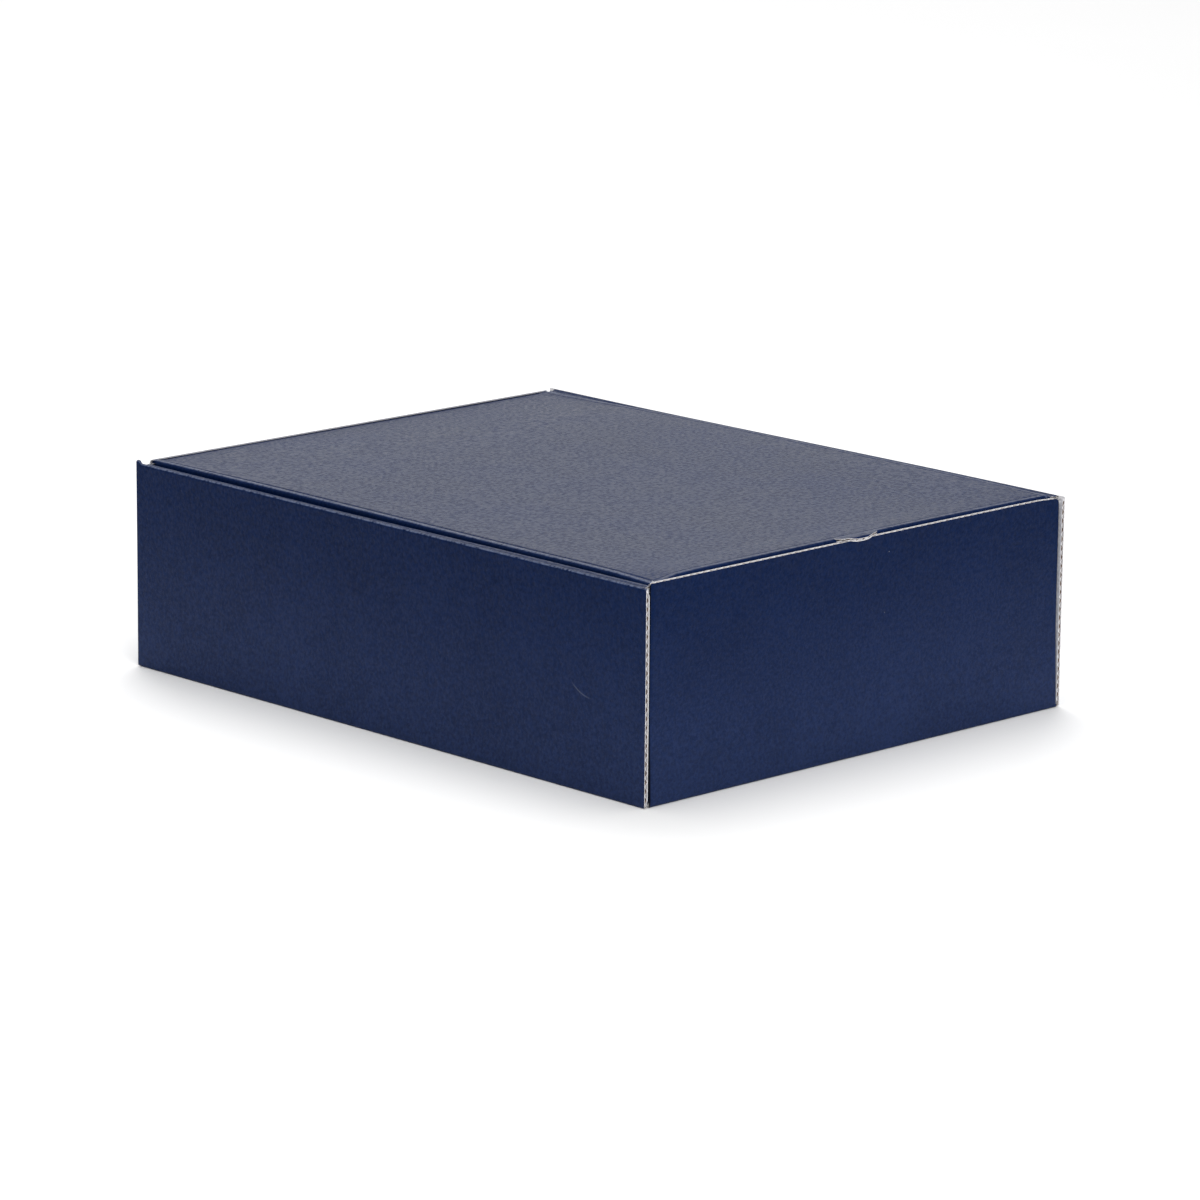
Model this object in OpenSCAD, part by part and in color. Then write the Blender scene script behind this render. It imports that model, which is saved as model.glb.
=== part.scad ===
// Hamper mailer, folded from one die-cut sheet of fine-flute corrugated board.
// The tray has rolled double side walls, and the lid turns on the top crease of the back wall.
// Origin at the middle of the underside, front at -Y, up at +Z, millimetres.

/* [Box] */
// Overall width, over the outer plies of the side walls
box_w = 218; // [150:1:400]
// Overall length from front to back, over the ends of the side walls
box_l = 280; // [210:1:500]
// Height of the side walls, to the top of the ledge
wall_h = 80; // [60:1:160]
// How far the front wall stands above the ledges
front_rise = 1.3; // [0.5:0.1:3]
// How far the lid's crease stands above the ledges at the back
back_rise = 0.8; // [0.4:0.1:3]

/* [Board] */
// Thickness of the board
board_t = 1.6; // [1.2:0.1:3]
// Outside radius of a fold
fold_r = 1.4; // [0.4:0.1:2]
// Clearance between plies that lie against each other
ply_gap = 0.2; // [0.1:0.05:0.5]

/* [Flutes] */
// Distance from one flute to the next
flute_pitch = 3.3; // [2.5:0.1:6]
// Thickness of each liner
liner_t = 0.25; // [0.15:0.05:0.35]
// Thickness of the fluting paper between the liners
paper_t = 0.2; // [0.1:0.05:0.3]
// How deep the flutes stand open behind a cut edge
mouth_depth = 2; // [0.5:0.5:8]

/* [Side walls] */
// How far the outer ply stands past the front and back walls
end_reveal = 1; // [0.2:0.1:3]
// Gap between the front and back walls and the ends of the ledge and inner ply
end_gap = 0.4; // [0.2:0.1:2]
// Depth of the shallow valley between the ledge's two creases
ledge_dip = 0.25; // [0.1:0.05:0.4]

/* [Locking tabs] */
// Length of a locking tab along the wall
lock_l = 34; // [20:1:50]
// Distance between the middles of the two tabs of a wall
lock_pitch = 130; // [60:1:140]
// Clearance round a tab in its slot
lock_gap = 0.4; // [0.2:0.1:1]
// How far a tab's end stays above the underside of the base
lock_short = 0.2; // [0.1:0.1:1]

/* [Corner flaps] */
// Length of a corner flap, from the outside of its wall
corner_l = 75; // [30:1:95]
// Clearance above and below a corner flap
corner_gap = 0.3; // [0.2:0.1:2]
// Length of the slanted cuts at the end of a corner flap
corner_cut = 12; // [4:1:25]

/* [Lid] */
// Gap between the lid's side folds and the ledges
lid_gap = 0.5; // [0.3:0.1:2]
// Gap between the tuck fold and the front wall
front_gap = 0.5; // [0.3:0.1:2]
// Gap between the lid's crease and the top of the back wall
hinge_gap = 0.2; // [0.1:0.05:0.5]
// Depth of the side flaps
side_flap_h = 30; // [15:1:50]
// How far the side flaps stay clear of the lid's front and back folds
side_flap_inset = 2.5; // [2.5:0.5:20]
// Length of the slanted cut at each end of a side flap
side_flap_cut = 14; // [2:1:30]

/* [Tuck flap] */
// Depth of the tuck flap
tuck_h = 40; // [20:1:50]
// How far the tuck flap stays clear of the lid's sides
tuck_inset = 3; // [1:0.5:20]
// Radius of the tuck flap's lower corners
tuck_r = 10; // [2:1:18]
// Clearance between the front wall and the tuck flap's lower edge as the lid swings
swing_gap = 0.2; // [0.1:0.05:0.3]

/* [Thumb tab] */
// Width of the thumb tab where it leaves the front fold
thumb_w = 21; // [14:1:30]
// Thickness of the thumb tab, pressed flat by the front wall under it
thumb_t = 1; // [0.6:0.1:1.1]
// Gap under the thumb tab
thumb_gap = 0.1; // [0.05:0.05:0.5]
// How far the thumb tab's tip stays behind the ends of the side walls
thumb_back = 0.1; // [0:0.1:0.9]

/* [Hidden] */

$fn = 96;
navy = [0.10, 0.14, 0.26];

// A fold can't be rounder than the board is thick
fold = min(fold_r, board_t - 0.2);

// A hollow beside the fluting paper, standing on its liner: its flanks have the slope of a
// sine wave at mid height, and an arc under the paper's crest would join them
flute_swing = (board_t - paper_t) / 2 - liner_t;
flank_slope = atan(2 * PI * flute_swing / flute_pitch);
flank_way = sin(flank_slope) * flute_pitch / 4 + (cos(flank_slope) * board_t - paper_t) / 2;
crest_top = board_t - liner_t - paper_t;
crest_r = (flank_way - crest_top * cos(flank_slope)) / (1 - cos(flank_slope));
hollow_half = (flank_way - liner_t * cos(flank_slope)) / sin(flank_slope);
crest_half = crest_r * sin(flank_slope);
crest_foot = crest_top - crest_r * (1 - cos(flank_slope));

// Distances from the overall ends and sides to the faces inside them
ledge_w = 3 * board_t + 2 * ply_gap;
panel_y = box_l / 2 - end_reveal;
panel_x = box_w / 2 - board_t - ply_gap;
roll_y = panel_y - board_t - end_gap;
inner_x = box_w / 2 - ledge_w;

// Heights
front_top = wall_h + front_rise;
crease_top = wall_h + back_rise;
lid_under = crease_top - board_t;
hinge_z = crease_top - board_t / 2;
back_top = hinge_z - board_t / 2 - hinge_gap;
corner_top = wall_h - board_t - corner_gap;

// The lid is drawn level with its crease, then turned up on it until the thumb tab
// clears the front wall
hinge_y = panel_y - board_t / 2;
lid_x = inner_x - lid_gap;
fold_y = panel_y - board_t - front_gap;
lid_reach = hinge_y + fold_y;
lid_rise = front_top + thumb_gap + thumb_t - crease_top;
lid_tilt = asin(lid_rise / (lid_reach + front_gap));

// The tuck flap leans in, so that its lower edge passes the front wall as the lid swings
tuck_drop = tuck_h - board_t / 2;
tuck_lean = lid_reach - sqrt(pow(lid_reach + front_gap - swing_gap, 2) - pow(tuck_drop, 2));

// The thumb tab is a shallow arc, cut from the tuck flap along the front fold
thumb_out = box_l / 2 - thumb_back - fold_y;
thumb_r = (pow(thumb_w / 2, 2) + pow(thumb_out, 2)) / (2 * thumb_out);

// Overlap that joins two solids of one sheet, and the reach of a cutting shape past a face
lap = 0.2;
past = 1;

// Extrudes a profile drawn in X and Z along Y, between two places
module along_y(from, to) {
    translate([0, to, 0])
        rotate([90, 0, 0])
            linear_extrude(to - from)
                children();
}

// Extrudes a profile drawn in Y and Z along X, between two places
module along_x(from, to) {
    translate([from, 0, 0])
        rotate([90, 0, 90])
            linear_extrude(to - from)
                children();
}

// Both sides of the box
module both_sides() {
    children();
    mirror([1, 0, 0])
        children();
}

// Both ends of the box
module both_ends() {
    children();
    mirror([0, 1, 0])
        children();
}

// Rectangle whose two lower corners, or two upper ones, are rounded
module round_bottom(left, low, right, high, r) {
    translate([left, low + r])
        square([right - left, high - low - r]);
    translate([left + r, low])
        square([right - left - 2 * r, high - low]);
    for (x = [left + r, right - r])
        translate([x, low + r])
            circle(r);
}

module round_top(left, low, right, high, r) {
    mirror([0, 1])
        round_bottom(left, -high, right, -low, r);
}

// One hollow beside the fluting paper, standing on the lower liner, with its crest's arc as
// two straight stretches
module flute_hollow() {
    polygon([
        [-hollow_half, liner_t],
        [hollow_half, liner_t],
        [crest_half, crest_foot],
        [0, crest_top],
        [-crest_half, crest_foot],
    ]);
}

// Mouths of the flutes on a cut edge, between two places. The board lies along X, with its
// printed face at Y = 0.
module flute_mouths(from, to) {
    intersection() {
        translate([from, liner_t])
            square([to - from, board_t - 2 * liner_t]);
        for (n = [floor(from / flute_pitch):ceil(to / flute_pitch)])
            translate([n * flute_pitch, 0]) {
                flute_hollow();
                translate([flute_pitch / 2, board_t])
                    mirror([0, 1])
                        flute_hollow();
            }
    }
}

// Base panel, with the folds to its four walls round underneath
module base_panel() {
    intersection() {
        along_y(-panel_y, panel_y)
            round_bottom(-box_w / 2, 0, box_w / 2, board_t, fold);
        along_x(-box_w / 2, box_w / 2)
            round_bottom(-panel_y, 0, panel_y, board_t, fold);
    }
}

// Slots in the base for the locking tabs of one side
module lock_slots() {
    for (y = [-lock_pitch / 2, lock_pitch / 2])
        translate([inner_x - lock_gap, y - lock_l / 2 - lock_gap, -past])
            cube([board_t + 2 * lock_gap, lock_l + 2 * lock_gap, board_t + 2 * past]);
}

// Outer ply of one rolled side wall, over the whole length, with flutes open at both ends
module outer_ply() {
    difference() {
        along_y(-box_l / 2, box_l / 2)
            intersection() {
                round_bottom(-box_w / 2, 0, box_w / 2, wall_h, fold);
                round_top(-box_w / 2, 0, box_w / 2, wall_h, fold);
                translate([box_w / 2 - board_t, 0])
                    square([board_t, wall_h]);
            }
        both_ends()
            along_y(-box_l / 2 - past, -box_l / 2 + mouth_depth)
                translate([box_w / 2, 0])
                    rotate(90)
                        flute_mouths(board_t, wall_h - board_t);
    }
}

// Ledge, inner ply and locking tabs of one rolled side wall
module inner_roll() {
    foot = board_t + ply_gap;
    dip_half = ledge_w / 2 - fold;
    dip_r = (pow(dip_half, 2) + pow(ledge_dip, 2)) / (2 * ledge_dip);
    difference() {
        along_y(-roll_y, roll_y)
            intersection() {
                round_top(inner_x, foot, box_w / 2, wall_h, fold);
                union() {
                    translate([inner_x, 0])
                        square([board_t, wall_h]);
                    translate([inner_x, wall_h - board_t])
                        square([ledge_w, board_t]);
                }
            }
        along_y(-roll_y - past, roll_y + past)
            translate([inner_x + ledge_w / 2, wall_h - ledge_dip + dip_r])
                circle(dip_r);
    }
    for (y = [-lock_pitch / 2, lock_pitch / 2])
        translate([inner_x, y - lock_l / 2, lock_short])
            cube([board_t, lock_l, foot - lock_short + lap]);
}

// Height of the round shoulders of an end wall
function shoulder_of(top) = top - corner_top;

// End wall at the front, up to the given height, with round vertical folds and round shoulders
module end_wall(top) {
    shoulder = shoulder_of(top);
    intersection() {
        along_y(-panel_y, -panel_y + board_t)
            round_top(-panel_x, 0, panel_x, top, shoulder);
        along_x(-panel_x, panel_x)
            round_bottom(-panel_y, 0, panel_y, top, fold);
        linear_extrude(top)
            round_bottom(-panel_x, -panel_y, panel_x, panel_y, fold);
    }
}

// Front wall, whose top is a cut edge with open flutes
module front_wall() {
    straight = panel_x - shoulder_of(front_top);
    difference() {
        end_wall(front_top);
        translate([0, -panel_y, front_top - mouth_depth])
            linear_extrude(mouth_depth + past)
                flute_mouths(-straight, straight);
    }
}

// Corner flap at the front of one side, folded back from the front wall into the side wall
module corner_flap() {
    foot = board_t + corner_gap;
    along_x(panel_x - board_t, panel_x)
        polygon([
            [-panel_y + fold, foot],
            [-panel_y + corner_l - corner_cut, foot],
            [-panel_y + corner_l, foot + corner_cut],
            [-panel_y + corner_l, corner_top - corner_cut],
            [-panel_y + corner_l - corner_cut, corner_top],
            [-panel_y + fold, corner_top],
        ]);
}

module tray() {
    color(navy) {
        difference() {
            base_panel();
            both_sides()
                lock_slots();
        }
        both_sides() {
            outer_ply();
            inner_roll();
            both_ends()
                corner_flap();
        }
        front_wall();
        mirror([0, 1, 0])
            end_wall(back_top);
    }
}

// Lid panel: round folds at the front and sides, and a half-round edge that turns on the crease
module lid_panel() {
    intersection() {
        along_y(-fold_y, hinge_y + board_t)
            round_top(-lid_x, lid_under, lid_x, crease_top, fold);
        along_x(-lid_x, lid_x)
            union() {
                translate([hinge_y, hinge_z])
                    circle(board_t / 2);
                intersection() {
                    round_top(-fold_y, lid_under, hinge_y + board_t, crease_top, fold);
                    translate([-fold_y, lid_under])
                        square([lid_reach, board_t]);
                }
            }
    }
}

// Side flap of the lid, folded down inside the inner ply
module side_flap() {
    lower = crease_top - side_flap_h;
    front = -fold_y + board_t + side_flap_inset;
    back = hinge_y - board_t - side_flap_inset;
    along_x(lid_x - board_t, lid_x)
        polygon([
            [front, lid_under + lap],
            [front, lid_under],
            [front + side_flap_cut, lower],
            [back - side_flap_cut, lower],
            [back, lid_under],
            [back, lid_under + lap],
        ]);
}

// Tuck flap of the lid, with round lower corners, flutes open along its lower edge and the
// mouth that the thumb tab left
module tuck_flap() {
    lower = crease_top - tuck_h;
    half = lid_x - tuck_inset;
    straight = half - tuck_r;
    difference() {
        intersection() {
            along_x(-half, half)
                polygon([
                    [-fold_y, lid_under + lap],
                    [-fold_y, lid_under],
                    [-fold_y + tuck_lean, lower],
                    [-fold_y + tuck_lean + board_t, lower],
                    [-fold_y + board_t, lid_under],
                    [-fold_y + board_t, lid_under + lap],
                ]);
            along_y(-fold_y - past, -fold_y + tuck_lean + board_t + past)
                round_bottom(-half, lower, half, crease_top, tuck_r);
        }
        along_y(-fold_y - past, -fold_y + tuck_lean + board_t + past)
            thumb_outline(lid_under);
        translate([0, -fold_y + tuck_lean, lower])
            rotate([atan(tuck_lean / (tuck_drop - board_t / 2)), 0, 0])
                translate([0, 0, -past])
                    linear_extrude(mouth_depth + past)
                        flute_mouths(-straight, straight);
    }
}

// Outline of the thumb tab, hanging below the given height
module thumb_outline(height) {
    intersection() {
        translate([0, height - thumb_out + thumb_r])
            circle(thumb_r);
        translate([-thumb_w / 2, height - thumb_out])
            square([thumb_w, thumb_out]);
    }
}

// Thumb tab, which stays in the lid's plane and reaches over the front wall
module thumb_tab() {
    translate([0, -fold_y, crease_top - thumb_t])
        linear_extrude(thumb_t)
            intersection() {
                translate([0, thumb_r - thumb_out])
                    circle(thumb_r);
                translate([-thumb_w / 2, -thumb_out])
                    square([thumb_w, thumb_out + fold]);
            }
}

module lid() {
    color(navy)
        translate([0, hinge_y, hinge_z])
            rotate([-lid_tilt, 0, 0])
                translate([0, -hinge_y, -hinge_z]) {
                    lid_panel();
                    both_sides()
                        side_flap();
                    tuck_flap();
                    thumb_tab();
                }
}

tray();
lid();
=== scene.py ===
import math

import bmesh
import bpy
from mathutils import Matrix, Vector, noise


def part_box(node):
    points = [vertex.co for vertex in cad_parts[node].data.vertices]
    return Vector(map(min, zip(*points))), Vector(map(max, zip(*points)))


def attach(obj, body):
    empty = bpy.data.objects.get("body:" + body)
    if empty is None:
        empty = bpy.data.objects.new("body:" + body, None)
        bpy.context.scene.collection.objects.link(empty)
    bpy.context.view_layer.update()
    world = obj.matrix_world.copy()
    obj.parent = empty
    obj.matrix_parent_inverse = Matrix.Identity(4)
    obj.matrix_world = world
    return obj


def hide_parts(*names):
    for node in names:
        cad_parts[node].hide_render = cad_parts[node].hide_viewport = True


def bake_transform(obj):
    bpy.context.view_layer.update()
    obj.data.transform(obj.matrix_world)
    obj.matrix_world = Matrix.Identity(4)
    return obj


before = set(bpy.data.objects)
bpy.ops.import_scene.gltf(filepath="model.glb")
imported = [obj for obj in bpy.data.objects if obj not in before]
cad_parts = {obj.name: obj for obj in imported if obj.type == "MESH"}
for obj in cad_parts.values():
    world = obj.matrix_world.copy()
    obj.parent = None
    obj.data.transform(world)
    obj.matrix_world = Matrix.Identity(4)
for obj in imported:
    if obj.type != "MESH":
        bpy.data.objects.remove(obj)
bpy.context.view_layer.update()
MM = 0.001

# Camera
# The photograph was taken with a long lens from in front and to the left, a little above
# the lid, and its picture plane leans half a degree.
sight = math.radians(43.85)
drop = math.radians(13.47)
lean = math.radians(0.48)
ahead = Vector((math.sin(sight) * math.cos(drop), math.cos(sight) * math.cos(drop), -math.sin(drop)))
level = ahead.cross(Vector((0, 0, 1))).normalized()
across = Matrix.Rotation(lean, 3, -ahead) @ level
camera_data = bpy.data.cameras.new("camera")
camera_data.sensor_width = 36
camera_data.lens = 183.9
camera = bpy.data.objects.new("camera", camera_data)
turned = Matrix((across, across.cross(ahead), -ahead)).transposed()
camera.matrix_world = Matrix.Translation(Vector((-1566.4, -1633.4, 575.8)) * MM) @ turned.to_4x4()
bpy.context.scene.collection.objects.link(camera)
bpy.context.scene.camera = camera


# Floor and light
# A white studio table in a dimmer room. Softboxes overhead, behind the box and beside the
# camera light it softly, and a white panel far behind draws the sheen on the lid and the folds.
class Wire:
    """A socket of a finish. Sums on wires add Math nodes, and add() makes any other node."""

    def __init__(self, socket):
        self.socket = socket
        self.tree = socket.id_data

    def add(self, kind, settings=(), sockets=(), output=0):
        node = self.tree.nodes.new(kind)
        for name, value in dict(settings).items():
            setattr(node, name, value)
        for name, value in dict(sockets).items():
            if isinstance(value, Wire):
                self.tree.links.new(value.socket, node.inputs[name])
            else:
                node.inputs[name].default_value = value
        return Wire(node.outputs[output])

    def sum(self, operation, *values):
        return self.add("ShaderNodeMath", {"operation": operation}, enumerate(values))

    def __add__(self, other):
        return self.sum("ADD", self, other)

    def __radd__(self, other):
        return self.sum("ADD", other, self)

    def __sub__(self, other):
        return self.sum("SUBTRACT", self, other)

    def __rsub__(self, other):
        return self.sum("SUBTRACT", other, self)

    def __mul__(self, other):
        return self.sum("MULTIPLY", self, other)

    def __rmul__(self, other):
        return self.sum("MULTIPLY", other, self)

    def step(self, low, high):
        """0 where this is below low, 1 above high, and smooth between."""
        sockets = {"Value": self, "From Min": low, "From Max": high}
        return self.add("ShaderNodeMapRange", {"interpolation_type": "SMOOTHSTEP"}, sockets)

    def noise(self, scale, detail=2.0):
        """Noise over this coordinate, about 0.5, with that many waves in a metre."""
        return self.add("ShaderNodeTexNoise", {}, {"Vector": self, "Scale": scale, "Detail": detail})

    def mix(self, low, high):
        """The colour low where this is 0, and high where it is 1."""
        return self.add("ShaderNodeMix", {"data_type": "RGBA"}, {0: self, 6: low, 7: high}, 2)


def finish(name, roughness, specular):
    """A new material: (the material, its shader's inputs, a wire of the object's coordinates)."""
    material = bpy.data.materials.new(name)
    material.use_nodes = True
    shader = material.node_tree.nodes["Principled BSDF"]
    shader.inputs["Roughness"].default_value = roughness
    shader.inputs["Specular IOR Level"].default_value = specular
    place = Wire(shader.outputs[0]).add("ShaderNodeTexCoord", output=3)
    return material, shader.inputs, place


def plug(wire, socket):
    """Links a wire to an input of a shader."""
    wire.tree.links.new(wire.socket, socket)


floor_finish, floor_sockets, floor_place = finish("studio_floor", 0.9, 0.1)
floor_tone = floor_place.noise(3.0).mix((0.90, 0.90, 0.90, 1), (0.93, 0.93, 0.93, 1))
plug(floor_tone, floor_sockets["Base Color"])
sweep = bmesh.new()
bmesh.ops.create_grid(sweep, x_segments=4, y_segments=4, size=12)
floor_mesh = bpy.data.meshes.new("studio_floor")
sweep.to_mesh(floor_mesh)
floor_mesh.materials.append(floor_finish)
floor = bpy.data.objects.new("studio_floor", floor_mesh)
bpy.context.scene.collection.objects.link(floor)

world = bpy.data.worlds.new("studio")
world.use_nodes = True
world.node_tree.nodes["Background"].inputs["Color"].default_value = (1, 1, 1, 1)
world.node_tree.nodes["Background"].inputs["Strength"].default_value = 0.3
bpy.context.scene.world = world
bpy.context.scene.view_settings.view_transform = "Standard"


def softbox(name, place, size, brightness):
    """A square area light at that place, in metres, turned to the middle of the box."""
    data = bpy.data.lights.new(name, "AREA")
    data.size = size
    data.energy = brightness * math.pi * size * size
    lamp = bpy.data.objects.new(name, data)
    away = Vector(place) - Vector((0, 0, 40 * MM))
    lamp.matrix_world = Matrix.Translation(place) @ away.to_track_quat("Z", "Y").to_matrix().to_4x4()
    bpy.context.scene.collection.objects.link(lamp)


softbox("overhead_softbox", (-0.05, -0.05, 1.5), 1.4, 2.6)
softbox("front_softbox", (-1.0, -1.9, 1.1), 1.0, 7.5)
softbox("far_softbox", (1.5, 1.9, 2.6), 2.4, 3.4)
softbox("back_panel", (3.9, 5.0, 1.7), 3.6, 0.80)

# Tray
# The lower part of one die-cut sheet of fine-flute board: base, front and back walls with
# their corner flaps, and side walls that roll over into a second ply. It has no glue: the
# tabs on the inner plies drop into slots in the base and lock the corner flaps in.
BOARD = 1.6
LINER = 0.2
FLUTE = 3.3
FOLD = 1.0
PLY_GAP = 0.2
# The board's finishes, by their places in board_finishes
PRINTED, PLAIN, FLUTING, CUT = range(4)
tray_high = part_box("tray")[1]
half_w = tray_high[0] / MM
half_l = tray_high[1] / MM
wall_top = 80
front_top = tray_high[2] / MM
back_top = 79.0
corner_top = 78.1
end_y = half_l - 1
roll_y = end_y - BOARD - 0.4
ledge = 3 * BOARD + 2 * PLY_GAP
panel_x = half_w - BOARD - PLY_GAP
inner_x = half_w - ledge
ledge_u = half_w + wall_top
inner_fold_u = ledge_u + ledge
right_angle = math.pi / 2
wall_creases = ((half_w, right_angle), (ledge_u, right_angle), (inner_fold_u, right_angle))
far_off = 1000


def ramp(value, low, high):
    """0 up to low, 1 from high on, and smooth between."""
    share = max(0.0, min(1.0, (value - low) / (high - low)))
    return share * share * (3 - 2 * share)


def folded(along, depth, creases, radius=FOLD):
    """(place, height) of a point of a sheet that is folded up at each (place, angle)."""
    place = height = heading = last = 0.0
    for crease, angle in creases:
        reach = radius * math.tan(angle / 2)
        if along <= crease - reach:
            break
        place += (crease - reach - last) * math.cos(heading)
        height += (crease - reach - last) * math.sin(heading)
        centre = (place - radius * math.sin(heading), height + radius * math.cos(heading))
        share = min((along - crease + reach) / (2 * reach), 1.0)
        heading += share * angle
        if share < 1:
            inner = radius - depth
            return centre[0] + inner * math.sin(heading), centre[1] - inner * math.cos(heading)
        place = centre[0] + radius * math.sin(heading)
        height = centre[1] - radius * math.cos(heading)
        last = crease + reach
    place += (along - last) * math.cos(heading) - depth * math.sin(heading)
    height += (along - last) * math.sin(heading) + depth * math.cos(heading)
    return place, height


def hump(value, middle, spread):
    """1 at the middle, falling smoothly to 0 on both sides of it."""
    return math.exp(-((value - middle) / spread) ** 2)


def mirrored(places):
    """Those places on both sides of 0."""
    return [-p for p in places] + list(places)


def bends(crease):
    """The lines beside a crease where the sheet may bend."""
    steps = (0.15, 0.45, 0.75, 1.0, 1.3, 1.6, 1.9, 2.2, 2.5, 2.8, 3.1, 3.5, 4.2)
    return [crease + step for step in mirrored(steps)]


def spaced(start, count):
    """Lines at equal steps across a wide panel, where it may bow."""
    return [start + 16 * n for n in range(count)]


def rect(u, v, far_u, far_v):
    """A rectangle on the flat sheet between two opposite corners."""
    return [(u, v), (far_u, v), (far_u, far_v), (u, far_v)]


def score(bm, axis, exact, loose):
    """Cuts the flat faces along straight lines at those places on that axis."""
    places = []
    for place in sorted(exact):
        if not places or place - places[-1] > 0.02:
            places.append(place)
    places += [p for p in loose if all(abs(p - q) > 0.2 for q in places)]
    line = Vector((axis == 0, axis == 1, 0))
    for place in places:
        whole = bm.verts[:] + bm.edges[:] + bm.faces[:]
        bmesh.ops.bisect_plane(bm, geom=whole, dist=1e-4, plane_co=line * place, plane_no=line)


def blank(panels, u_lines, v_lines, slots=()):
    """The flat sheet of those convex panels in one, with rectangular slots punched out."""
    bm = bmesh.new()
    for panel in panels:
        bm.faces.new([bm.verts.new((u, v, 0)) for u, v in panel])
    corners = [point for panel in panels for point in panel]
    corners += [(u, v) for slot in slots for u, v in ((slot[0], slot[1]), (slot[2], slot[3]))]
    score(bm, 0, [u for u, v in corners], u_lines)
    score(bm, 1, [v for u, v in corners], v_lines)
    bmesh.ops.remove_doubles(bm, verts=bm.verts, dist=0.01)
    punched = []
    for face in bm.faces:
        u, v = face.calc_center_median()[:2]
        if any(slot[0] < u < slot[2] and slot[1] < v < slot[3] for slot in slots):
            punched.append(face)
    bmesh.ops.delete(bm, geom=punched, context="FACES")
    return bm


def thicken(bm, low, high):
    """Makes the flat sheet a closed layer between two depths below its printed face."""
    bmesh.ops.recalc_face_normals(bm, faces=bm.faces)
    bmesh.ops.translate(bm, vec=(0, 0, low), verts=bm.verts)
    made = bmesh.ops.extrude_face_region(bm, geom=bm.faces[:])["geom"]
    top = [v for v in made if isinstance(v, bmesh.types.BMVert)]
    bmesh.ops.translate(bm, vec=(0, 0, high - low), verts=top)
    bmesh.ops.recalc_face_normals(bm, faces=bm.faces)


def join(whole, extra):
    """Adds another bmesh to this one, and frees it."""
    mesh = bpy.data.meshes.new("joining")
    extra.to_mesh(mesh)
    whole.from_mesh(mesh)
    extra.free()
    bpy.data.meshes.remove(mesh)


def liners(sheet):
    """The printed liner and the plain liner of a flat sheet, a board's thickness apart."""
    whole = bmesh.new()
    for outer_finish, outward, low, high in ((PRINTED, -1, 0, LINER), (PLAIN, 1, BOARD - LINER, BOARD)):
        layer = sheet.copy()
        thicken(layer, low, high)
        for face in layer.faces:
            face.material_index = outer_finish if face.normal.z * outward > 0.5 else CUT
        join(whole, layer)
    sheet.free()
    return whole


def flutes(whole, panel):
    """Adds wavy fluting between the liners of a convex panel. Its waves follow u."""
    bm = bmesh.new()
    bm.faces.new([bm.verts.new((u, v, 0)) for u, v in panel])
    first = math.floor(min(u for u, v in panel) / FLUTE * 8)
    last = math.ceil(max(u for u, v in panel) / FLUTE * 8)
    score(bm, 0, [], [n * FLUTE / 8 for n in range(first, last + 1)])
    paper = 0.2
    swing = (BOARD - 2 * LINER - paper) / 2
    for vert in bm.verts:
        vert.co.z = swing * math.cos(math.tau * vert.co.x / FLUTE)
    middle = BOARD / 2
    thicken(bm, middle - paper / 2, middle + paper / 2)
    for face in bm.faces:
        face.material_index = CUT if abs(face.normal.z) < 0.1 else FLUTING
    join(whole, bm)


def pad(whole, panel, material_index=CUT):
    """Fills the sheet between its liners with crushed paper, white where it is torn."""
    bm = bmesh.new()
    bm.faces.new([bm.verts.new((u, v, 0)) for u, v in panel])
    thicken(bm, LINER + 0.03, BOARD - LINER - 0.03)
    for face in bm.faces:
        face.material_index = material_index
    join(whole, bm)


def crush(radius):
    """How much of its thickness the board loses in a crease of that outer radius."""
    return max(0.0, 1 - (radius - 0.15) / BOARD)


def fold_sheet(bm, place_of, way_of, wear_highlight_shade_of, radius=FOLD):
    """Notes where each point lies on the flat sheet, then folds it: way_of gives the way to
    the nearest crease, along which the board is crushed, wear_highlight_shade_of how far the ink
    is rubbed off, with a painted highlight on fold ridges and painted shade where it is below 0,
    and place_of the folded place."""
    flat = bm.loops.layers.uv.new("blank")
    wear_highlight_shade = bm.verts.layers.float.new("crease")
    for face in bm.faces:
        for loop in face.loops:
            loop[flat].uv = loop.vert.co.x * MM, loop.vert.co.y * MM
    for vert in bm.verts:
        u, v, depth = vert.co
        way = way_of(u, v)
        vert[wear_highlight_shade] = wear_highlight_shade_of(u, v)
        depth *= 1 - crush(radius) * math.exp(-(way / 2.2) ** 4)
        vert.co = Vector(place_of(u, v, depth)) * MM
    bm.normal_update()


def make_piece(name, bm, materials):
    """Turns a finished bmesh into an object with those materials."""
    for face in bm.faces:
        face.smooth = True
    for edge in bm.edges:
        edge.smooth = len(edge.link_faces) == 2 and edge.calc_face_angle() < math.radians(35)
    mesh = bpy.data.meshes.new(name)
    bm.to_mesh(mesh)
    bm.free()
    for material in materials:
        mesh.materials.append(material)
    piece = bpy.data.objects.new(name, mesh)
    bpy.context.scene.collection.objects.link(piece)
    return piece


def arc(centre, radius, start, end, steps):
    """Points on an arc between two angles in degrees."""
    angles = [math.radians(start + (end - start) * n / steps) for n in range(steps + 1)]
    return [(centre[0] + radius * math.cos(a), centre[1] + radius * math.sin(a)) for a in angles]


def both_ways(panel, sides=(-1, 1), ends=(-1, 1)):
    """The panel mirrored to those sides and ends of the blank."""
    return [[(u * side, v * end) for u, v in panel] for side in sides for end in ends]
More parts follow.
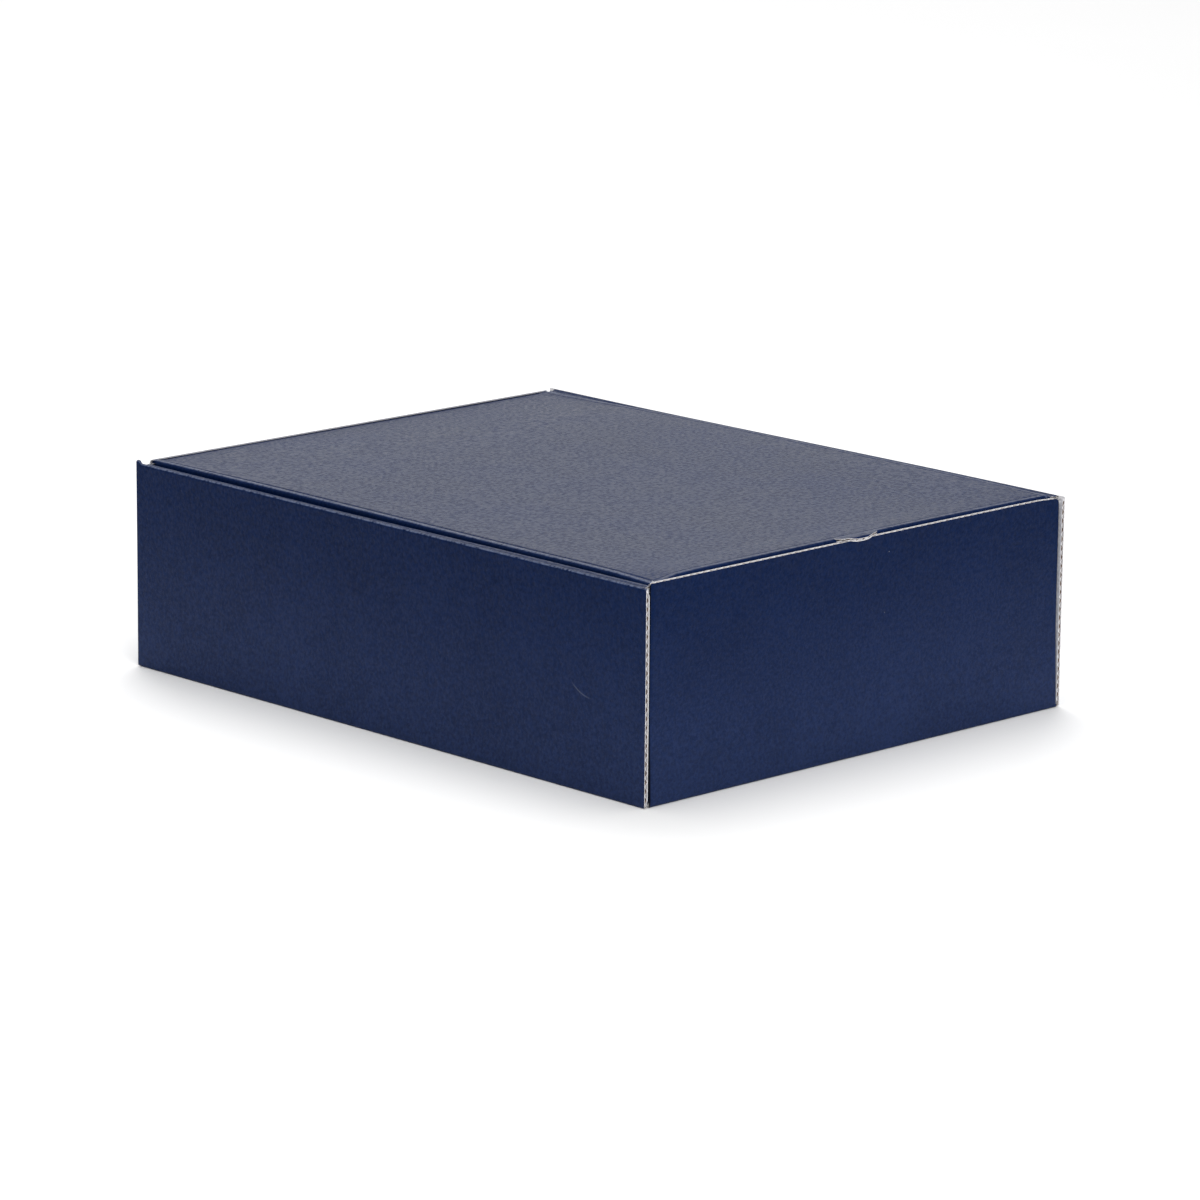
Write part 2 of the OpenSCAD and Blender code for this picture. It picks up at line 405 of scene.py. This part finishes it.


# The printed liner: matt navy ink on paper. Painted shading makes it paler towards the foot
# of the walls, where floor light bounces up, and darker at the top. The fibres show as a fine
# mottle in the colour and the sheen, and the ink is rubbed off the creases, with a painted
# highlight along the fold ridges. Painted shade darkens the gap at the near corner, and a few
# specks of dust and one curved scuff lie on it.
top_shaded_navy = (0.003, 0.012, 0.052, 1)
floor_lit_navy = (0.0145, 0.0265, 0.080, 1)
print_finish, print_sockets, print_place = finish("navy_print", 0.5, 0.03)
print_sockets["Coat IOR"].default_value = 1.15
print_sockets["Coat Roughness"].default_value = 0.32
cloud = print_place.noise(28.0, 3.0)
fibre = print_place.noise(850.0, 3.0)
grain = print_place.noise(2200.0, 2.0)
streak = print_place.noise(650.0, 4.0)
crease_wear_highlight_shade = print_place.add("ShaderNodeAttribute", {"attribute_name": "crease"}, output=2)
tone = (cloud * 0.2 + fibre * 0.5 + grain * 0.3).step(0.36, 0.64)
height = print_place.add("ShaderNodeSeparateXYZ", {}, {"Vector": print_place}, 2)
# Painted light: the print is paler towards the foot, where floor light bounces up, and darker at the top
bounce_shaded_navy = height.step(0.0, 0.085).mix(floor_lit_navy, top_shaded_navy)
mottled_bounce_navy = bounce_shaded_navy.add("ShaderNodeVectorMath", {"operation": "SCALE"}, {0: bounce_shaded_navy, "Scale": 0.76 + 0.48 * tone})
# Rubbed creases turn a pale blue-grey, and the same colour is a painted highlight along the fold ridges
rubbed_and_highlit = crease_wear_highlight_shade * fibre.step(0.3, 0.6)
rubbed_highlit_ink = rubbed_and_highlit.mix(mottled_bounce_navy, (0.13, 0.16, 0.25, 1))
# Painted shade: where the crease value is below 0, the print turns near black in the gap at the near corner
painted_gap_shade = (0 - crease_wear_highlight_shade).step(0.0, 1.0)
shaded_ink = painted_gap_shade.mix(rubbed_highlit_ink, (0.0010, 0.0015, 0.004, 1))
dust = print_place.add("ShaderNodeTexVoronoi", {}, {"Vector": print_place, "Scale": 70.0})
dust_patch = print_place.noise(11.0)
speck = (1 - dust.step(0.010, 0.022)) * dust_patch.step(0.45, 0.6)
distance = {"operation": "DISTANCE"}
scuff_radius = 0.015
scuff_centre = {0: print_place, 1: (-0.109, -0.1125, 0.050)}
scuff_middle = {0: print_place, 1: (-0.109, -0.107, 0.0375)}
off_arc = print_place.add("ShaderNodeVectorMath", distance, scuff_centre, 1) - scuff_radius
off_middle = print_place.add("ShaderNodeVectorMath", distance, scuff_middle, 1)
scuff_line = 1 - off_arc.sum("ABSOLUTE", off_arc).step(0.0001, 0.0004)
scuff = scuff_line * (1 - off_middle.step(0.002, 0.0065)) * 0.18
marked = speck.sum("MAXIMUM", speck, scuff)
plug(marked.mix(shaded_ink, (0.24, 0.26, 0.32, 1)), print_sockets["Base Color"])
plug(0.24 + 0.18 * fibre + 0.06 * cloud, print_sockets["Roughness"])
plug(streak.step(0.34, 0.66) * 0.5, print_sockets["Coat Weight"])
relief = fibre * 0.6 + grain * 0.4
bumped = relief.add("ShaderNodeBump", {}, {"Height": relief, "Strength": 1.0, "Distance": 0.0003})
plug(bumped, print_sockets["Normal"])

# The plain liner inside the box: greyish white paper with greyer fibres, painted darker than it is as shade
# for the inner faces seen at the plies' ends.
plain_finish, plain_sockets, plain_place = finish("plain_liner", 0.85, 0.2)
fleck = plain_place.noise(900.0, 4.0).step(0.35, 0.7)
plug(fleck.mix((0.44, 0.44, 0.47, 1), (0.60, 0.60, 0.63, 1)), plain_sockets["Base Color"])
plain_relief = plain_place.noise(1500.0, 3.0)
plain_bump = {"Height": plain_relief, "Strength": 0.4, "Distance": 0.00005}
plug(plain_relief.add("ShaderNodeBump", {}, plain_bump), plain_sockets["Normal"])

# The fluting between the liners: unbleached paper, brown with a pink cast.
flute_finish, flute_sockets, flute_place = finish("fluting_paper", 0.9, 0.15)
pulp = flute_place.noise(1200.0, 3.0).step(0.3, 0.7)
plug(pulp.mix((0.15, 0.10, 0.075, 1), (0.30, 0.215, 0.165, 1)), flute_sockets["Base Color"])

# Every cut or torn edge of a liner: bright white paper.
cut_finish, cut_sockets, cut_place = finish("cut_paper", 0.9, 0.2)
tear = cut_place.noise(1100.0, 3.0).step(0.3, 0.7)
plug(tear.mix((0.72, 0.71, 0.73, 1), (0.92, 0.91, 0.93, 1)), cut_sockets["Base Color"])
board_finishes = (print_finish, plain_finish, flute_finish, cut_finish)

# The blank lies flat round the middle of the base. On it, u runs across the box and v along
# it, from the near end to the far one.
foot_u = inner_fold_u + wall_top - BOARD - PLY_GAP
tab_u = inner_fold_u + wall_top - 0.2
outer_u = ledge_u + FOLD
lock_ends = (48, 82)
corner_u = panel_x + 75
corner_v = (end_y + BOARD + 0.3, end_y + corner_top)
corner_cut = 12
fold_v = end_y - FOLD
slit = 0.4
tray_panels = [
    *both_ways(rect(0, 0, half_w, fold_v)),
    *both_ways(rect(panel_x + slit, fold_v, half_w, end_y)),
    *both_ways(rect(half_w, 0, outer_u, half_l)),
    *both_ways(rect(outer_u, 0, foot_u, roll_y)),
    *both_ways(rect(foot_u, lock_ends[0], tab_u, lock_ends[1])),
    *both_ways([
        (panel_x, corner_v[0]),
        (corner_u - corner_cut, corner_v[0]),
        (corner_u, corner_v[0] + corner_cut),
        (corner_u, corner_v[1] - corner_cut),
        (corner_u - corner_cut, corner_v[1]),
        (panel_x, corner_v[1]),
    ]),
]
back_shoulder = back_top - corner_top
near_shoulder = 1.3
far_shoulder = front_top - corner_top
for side, end, top, shoulder in (
    (-1, -1, front_top, near_shoulder),
    (1, -1, front_top, far_shoulder),
    (-1, 1, back_top, back_shoulder),
    (1, 1, back_top, back_shoulder),
):
    rim = arc((panel_x - shoulder, end_y + top - shoulder), shoulder, 0, 90, 6)
    wall = [(0, fold_v), (panel_x, fold_v), *rim, (0, end_y + top)]
    tray_panels += both_ways(wall, sides=(side,), ends=(end,))
slots = []
slot_play = 0.4
for side in (-1, 1):
    for end in (-1, 1):
        us = sorted((side * (inner_x - slot_play), side * (inner_x + BOARD + slot_play)))
        vs = sorted((end * (lock_ends[0] - slot_play), end * (lock_ends[1] + slot_play)))
        slots.append((us[0], vs[0], us[1], vs[1]))
u_lines = bends(panel_x) + spaced(16, 6) + spaced(half_w + 16, 4) + spaced(inner_fold_u + 16, 4)
for crease, angle in wall_creases:
    u_lines += bends(crease)
v_lines = bends(end_y) + spaced(0, 9) + spaced(end_y + 16, 4)
tray_sheet = liners(blank(tray_panels, mirrored(u_lines), mirrored(v_lines), slots))

# The fluting shows in the outer and inner plies' ends and along the front wall's top. It
# stands back a hair from the liners' edges, and is torn and crushed at the ledges.
rim_depth = 6
set_back = 0.05
torn_depth = 2.5
torn_u = ledge_u - 1.6
for torn in both_ways(rect(torn_u, half_l - 0.02, outer_u, half_l - torn_depth)):
    pad(tray_sheet, torn)
outer_rim = rect(half_w - FOLD, half_l - set_back, torn_u, half_l - rim_depth)
inner_rim = rect(outer_u, roll_y - set_back, foot_u, roll_y - rim_depth)
for rim in both_ways(outer_rim) + both_ways(inner_rim):
    flutes(tray_sheet, rim)
low_v = end_y + front_top - rim_depth
rim_u = panel_x - set_back
rim_v = end_y + front_top - set_back
near_rim, far_rim = [
    arc((rim_u - shoulder, rim_v - shoulder), shoulder, 0, 90, 6)
    for shoulder in (near_shoulder, far_shoulder)
]
front_rim = [(u, -v) for u, v in far_rim] + [(-u, -v) for u, v in reversed(near_rim)]
front_rim += [(-rim_u, -low_v), (rim_u, -low_v)]
flutes(tray_sheet, front_rim)


def back_droop(x, y, z):
    """How far the lid's crease hangs down at the back, most of all on the right."""
    hang = 0.8 * ramp(x, -half_w, half_w) + 0.5 * ramp(inner_x - abs(x), 1, 6)
    return hang * ramp(y, 60, end_y) * ramp(z, 40, wall_top - 2)


def settle_tray(x, y, z):
    """The hollows and leans that the folded box has taken, in millimetres."""
    side = math.copysign(1, x)
    end = math.copysign(1, y)
    beside_ends = abs(y) > roll_y + 0.2
    on_side = ramp(abs(x), panel_x, panel_x + 0.15) if beside_ends else ramp(abs(x), inner_x - 2, inner_x)
    on_end = ramp(abs(y), roll_y - 4, roll_y) * (1 - on_side)
    height = max(0.0, min(1.0, z / wall_top))
    bow = math.sin(math.pi * height)
    swell = noise.noise(Vector((x / 90, y / 90, z / 60))) * 0.3
    # The inner fold of each ledge has sunk towards the back
    sunk = ramp(half_w - abs(x), 1.2, ledge) * ramp(y, -100, 60) * 0.8
    # The right ledge rises towards the front, and the left one at its back end
    raised = ramp(-y, -110, 110) * 1.2 if x > 0 else ramp(y, half_l - 2.6, half_l - 1.2) * 1.1
    z += on_side * ramp(height, 0.6, 0.98) * (raised - sunk)
    z -= on_end * back_droop(x, y, z)
    x -= side * on_side * (0.35 + swell) * bow * math.cos(math.pi * y / (2.2 * half_l))
    y -= end * on_end * (0.25 + swell) * bow * math.cos(math.pi * x / (2.2 * half_w))
    return x, y, z


def on_end_wall(u, v):
    """Whether that place of the flat tray is on an end wall or its corner flaps."""
    return abs(v) > fold_v and (abs(u) < panel_x + slit / 2 or abs(v) > half_l + 0.3)


def tray_way(u, v):
    """The way from that place of the flat tray to the nearest crease."""
    end_way = abs(abs(v) - end_y) if abs(u) < panel_x + slit / 2 else far_off
    if on_end_wall(u, v):
        corner_way = abs(abs(u) - panel_x) if abs(v) > corner_v[0] else far_off
        return min(end_way, corner_way)
    return min(end_way, *[abs(abs(u) - crease) for crease, angle in wall_creases])


def place_tray(u, v, depth):
    """Where a point of the flat tray lies when the tray is folded up."""
    across_u = abs(u)
    along_v = abs(v)
    if on_end_wall(u, v):
        turn = max(0.01, right_angle * ramp(along_v - end_y, 0.2, 1.8))
        at_near_corner = u < 0 and v < 0
        x, inward = folded(across_u, depth, ((panel_x, turn),), 2.4 if at_near_corner else FOLD)
        # The near corner's fold stands off the outer ply, which leaves a gap; painted shade darkens it
        stand_off = ramp(across_u, panel_x - 8, panel_x - 1) * (1 - ramp(across_u, panel_x + 1, panel_x + 6))
        x -= 0.35 * at_near_corner * stand_off
        y, z = folded(along_v, inward, ((end_y, right_angle),))
        # The front wall's top sinks towards its right end
        z -= 0.5 * (u > 0 > v) * ramp(across_u, panel_x - 14, panel_x - 5) * ramp(z, 40, wall_top)
    else:
        # The scored ledge has a valley, and the outer plies' front ends have slid back a little
        depth += 0.5 * hump(across_u, ledge_u + 2.3, 0.9) * (1 - depth / BOARD)
        x, z = folded(across_u, depth, wall_creases)
        slid = 0.3 if u < 0 else 0.5 - 0.4 * z / wall_top
        y = along_v - slid * (v < 0) * ramp(across_u, half_w - 3, half_w) * ramp(along_v, 110, half_l)
    # The front wall's foot bulges out to the ends of the side walls
    under_front = 1 if on_end_wall(u, v) else 1 - ramp(across_u, panel_x, panel_x + slit)
    y += 0.85 * (v < 0) * under_front * ramp(along_v, 100, fold_v) * (1 - ramp(z, 4, 34))
    return settle_tray(math.copysign(x, u), math.copysign(y, v), z)


def tray_wear_highlight_shade(u, v):
    """How far the ink is rubbed off there, with a painted highlight along the fold ridges: most
    of all on the outer folds of the ledges. It is below 0 where painted shade darkens the gap
    between the near corner's fold and the outer ply."""
    if on_end_wall(u, v) and u < 0 and v < 0:
        # Painted shade: below 0 the print is painted near black in the gap beside the outer ply
        return -1.3 * hump(abs(u), panel_x - 0.1, 0.55)
    outer_fold = hump(abs(u), ledge_u + 0.1, 0.3) * (0.1 if u > 0 else 1)
    inner_fold = hump(abs(u), inner_fold_u - 0.8, 0.5)
    return 0 if on_end_wall(u, v) else outer_fold + inner_fold * (0.1 + 0.5 * ramp(v, 0, half_l))


fold_sheet(tray_sheet, place_tray, tray_way, tray_wear_highlight_shade)
tray = make_piece("folded_tray", tray_sheet, board_finishes)
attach(tray, "tray")
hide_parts("tray")

# Lid
# The upper part of the same sheet: the lid panel, two side flaps that drop inside the
# rolled walls, and a tuck flap behind the front wall. A thumb tab, cut out of the tuck
# flap, stays in the lid's plane and lies on the front wall.
crease_top = wall_top + 0.8
hinge_y = end_y - BOARD / 2
hinge_z = crease_top - BOARD / 2
lid_x = inner_x - 0.5
front_fold = end_y - BOARD - 0.5
reach_v = hinge_y + front_fold
flap_u = lid_x + 30
flap_v = (BOARD + 2.5, reach_v - BOARD - 2.5)
flap_cut = 14
flap_root = 2.2
tuck_h = 40
tuck_v = reach_v + tuck_h
tuck_u = lid_x - 3
tuck_r = 10
swing = reach_v + 0.5 - 0.2
tuck_drop = tuck_h - BOARD / 2
tuck_angle = right_angle + math.atan((reach_v - math.sqrt(swing ** 2 - tuck_drop ** 2)) / tuck_drop)
thumb_w = 21
thumb_out = half_l - 0.1 - front_fold
thumb_r = ((thumb_w / 2) ** 2 + thumb_out ** 2) / (2 * thumb_out)
thumb_t = 1.0
lid_tilt = math.asin((front_top + 0.1 + thumb_t - crease_top) / (reach_v + 0.5))
LID_FOLD = 1.3
lid_fold_v = reach_v - 1.1 * LID_FOLD
start_v = 1.0
sweep_angle = math.degrees(math.asin(thumb_w / 2 / thumb_r))
mouth = arc((0, reach_v + thumb_out - thumb_r), thumb_r, 90 - sweep_angle, 90 + sweep_angle, 14)
mouth_gap = 0.12
mouth_u = thumb_w / 2 + mouth_gap
notch_v = reach_v + 0.6
shoulder_v = reach_v + 3.5
side_flap = [
    (lid_x, flap_v[0] - flap_root),
    (flap_u, flap_v[0] + flap_cut),
    (flap_u, flap_v[1] - flap_cut),
    (lid_x, flap_v[1] + flap_root),
]
tuck_flap = [
    (mouth_u, lid_fold_v),
    (lid_x - 0.2, lid_fold_v),
    (lid_x - 0.2, notch_v),
    (tuck_u, shoulder_v),
    *arc((tuck_u - tuck_r, tuck_v - tuck_r), tuck_r, 0, 90, 8),
    (mouth_u, tuck_v),
]
lid_panels = [
    rect(-lid_x, start_v, lid_x, lid_fold_v),
    *both_ways(side_flap, ends=(1,)),
    *both_ways(tuck_flap, ends=(1,)),
    [(-thumb_w / 2, lid_fold_v), (thumb_w / 2, lid_fold_v), *mouth],
    *both_ways(rect(thumb_w / 2, reach_v + mouth_gap, mouth_u, tuck_v), ends=(1,)),
]
for near, far in zip(mouth, mouth[1:]):
    near_v, far_v = near[1] + mouth_gap, far[1] + mouth_gap
    lid_panels.append([(near[0], near_v), (near[0], tuck_v), (far[0], tuck_v), (far[0], far_v)])
lid_u_lines = mirrored(bends(lid_x) + spaced(0, 6))
lid_v_lines = bends(reach_v) + spaced(16, 16) + [reach_v + 10, reach_v + 22]
lid_sheet = liners(blank(lid_panels, lid_u_lines, lid_v_lines))


def settle_lid(x, y, z):
    """The sag of the lid behind its front edge. Its right side rides up on the side flap,
    and its near corner is pushed down."""
    front = half_l + y
    right = ramp(x, 30, lid_x)
    curl = ramp(front, 2, 22) * (1 - ramp(front, 40, 240)) * (1 - right)
    near_corner = ramp(-x, 86, lid_x) * (1 - ramp(front, 0, 27))
    z -= 0.95 * curl + 2.0 * near_corner + back_droop(x, y, wall_top)
    z += 0.3 * right * ramp(front, 15, 60) * (1 - ramp(front, 200, 275))
    z -= 0.45 * right * (1 - ramp(front, 4, 30))
    # The tip of the thumb tab is pressed down over the front wall's edge
    z -= 0.6 * ramp(-y, end_y - 0.1, half_l - 0.1)
    return x, y, z


def on_thumb_tab(u, v):
    """Whether that place of the flat lid is on the thumb tab."""
    inside = math.hypot(u, v - reach_v - thumb_out + thumb_r) < thumb_r + 0.05
    return inside and abs(u) < thumb_w / 2 + 0.01 and v > lid_fold_v


def lid_way(u, v):
    """The way from that place of the flat lid to the nearest crease."""
    side_way = abs(abs(u) - lid_x) if flap_v[0] - 1 < v < flap_v[1] + 1 else far_off
    return min(side_way, far_off if on_thumb_tab(u, v) else abs(v - reach_v))


def place_lid(u, v, depth):
    """Where a point of the flat lid lies when the box is shut."""
    edge = min(ramp(v, 0.9, 2.0), 1 - ramp(v, reach_v - 1.8, reach_v - 0.8))
    from_side = lid_x - abs(u)
    groove = (0.15 if u > 0 else 0.42) * hump(from_side, 3.1, 0.45) - 0.06 * hump(from_side, 1.9, 0.5)
    front_groove = 0.2 * hump(reach_v - v, 3.0, 0.5) * (not on_thumb_tab(u, v))
    depth += max(groove * edge, front_groove * ramp(from_side, 1, 3)) * (1 - depth / BOARD)
    x, down = folded(abs(u), depth, ((lid_x, max(0.01, right_angle * edge)),), LID_FOLD)
    if on_thumb_tab(u, v):
        down *= 1 - (1 - thumb_t / BOARD) * ramp(v, lid_fold_v, reach_v + 0.5)
        along = v
    else:
        along, down = folded(v, down, ((reach_v, tuck_angle),), LID_FOLD)
    rise = crease_top - hinge_z - down
    y = hinge_y - along * math.cos(lid_tilt) + rise * math.sin(lid_tilt)
    z = hinge_z + along * math.sin(lid_tilt) + rise * math.cos(lid_tilt)
    return settle_lid(math.copysign(x, u), y, z)


def lid_wear_and_highlight(u, v):
    """How far the ink is rubbed off there, with a painted highlight: along the ridges of the side folds and
    front fold.
    """
    return 0.6 * hump(lid_x - abs(u), 1.0, 0.6) + 0.25 * hump(reach_v - v, 1.4, 0.6)


# The fluting shows along the side flaps, the tuck flap and the thumb tab, and is crushed at
# the lid's four corners, where the rear ones are inked over.
flap_fluting = [
    (lid_x + 1, flap_v[0] + 0.7),
    (flap_u - set_back, flap_v[0] + flap_cut + set_back),
    (flap_u - set_back, flap_v[1] - flap_cut - set_back),
    (lid_x + 1, flap_v[1] - 0.7),
]
for panel in both_ways(flap_fluting, ends=(1,)):
    flutes(lid_sheet, panel)
tuck_rim = arc((tuck_u - tuck_r, tuck_v - tuck_r), tuck_r - set_back, 0, 90, 8)
flutes(lid_sheet, [*tuck_rim, *[(-u, v) for u, v in reversed(tuck_rim)]])
for panel in both_ways(rect(tuck_u - rim_depth, shoulder_v, tuck_u - set_back, tuck_v - tuck_r), ends=(1,)):
    flutes(lid_sheet, panel)
for panel in both_ways(rect(lid_x - rim_depth, lid_fold_v - 2, lid_x - 0.25, notch_v), ends=(1,)):
    pad(lid_sheet, panel)
for panel in both_ways(rect(lid_x - rim_depth, start_v, lid_x - 0.1, flap_v[0]), ends=(1,)):
    pad(lid_sheet, panel, PRINTED)
flutes(lid_sheet, [(u * 0.995, v - 0.04) for u, v in mouth])

# The lid's near corner is torn, and shows white paper
for face in lid_sheet.faces:
    u, v = face.calc_center_median()[:2]
    if u < 1.8 - lid_x and abs(v - reach_v + 0.2) < 1.0:
        face.material_index = CUT
fold_sheet(lid_sheet, place_lid, lid_way, lid_wear_and_highlight, LID_FOLD)
lid = make_piece("folded_lid", lid_sheet, board_finishes)
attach(lid, "lid")
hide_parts("lid")

# Lid crease
# The score between the back wall and the lid, where the sheet bends each time the lid is
# opened. Its two liners run on from the wall to the lid.
strip = bmesh.new()
strip_reach = 2.4
CREASE_FOLD = 1.75
strip_lines = [0.2 * n for n in range(-11, 12)]
printed_layer = (PRINTED, -1, 0.02, LINER)
plain_layer = (PLAIN, 1, BOARD - LINER, BOARD - 0.02)
for outer_finish, outward, low, high in (printed_layer, plain_layer):
    liner = blank([rect(-lid_x, -strip_reach, lid_x, strip_reach)], [], strip_lines)
    thicken(liner, low, high)
    for face in liner.faces:
        face.material_index = outer_finish if face.normal.z * outward > 0.5 else CUT
    join(strip, liner)
for tip in both_ways(rect(lid_x - rim_depth, -strip_reach, lid_x - 0.1, strip_reach), ends=(1,)):
    pad(strip, tip, PRINTED)


def place_crease(u, v, depth):
    """Where a point of the crease lies: v runs from the wall over the corner to the lid."""
    below = 10
    rise, inward = folded(v + below, depth, ((below, right_angle),), CREASE_FOLD)
    y = end_y - inward
    return u, y, crease_top - below + rise - back_droop(u, y, wall_top)


def crease_way(u, v):
    """The way from that place of the strip to the crease."""
    return abs(v)


def crease_wear_of(u, v):
    """How far the ink is rubbed off along the lid's crease."""
    return 0.4 * hump(v, 0, 0.6)


fold_sheet(strip, place_crease, crease_way, crease_wear_of, CREASE_FOLD)
crease = make_piece("lid_crease", strip, board_finishes)
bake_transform(crease)
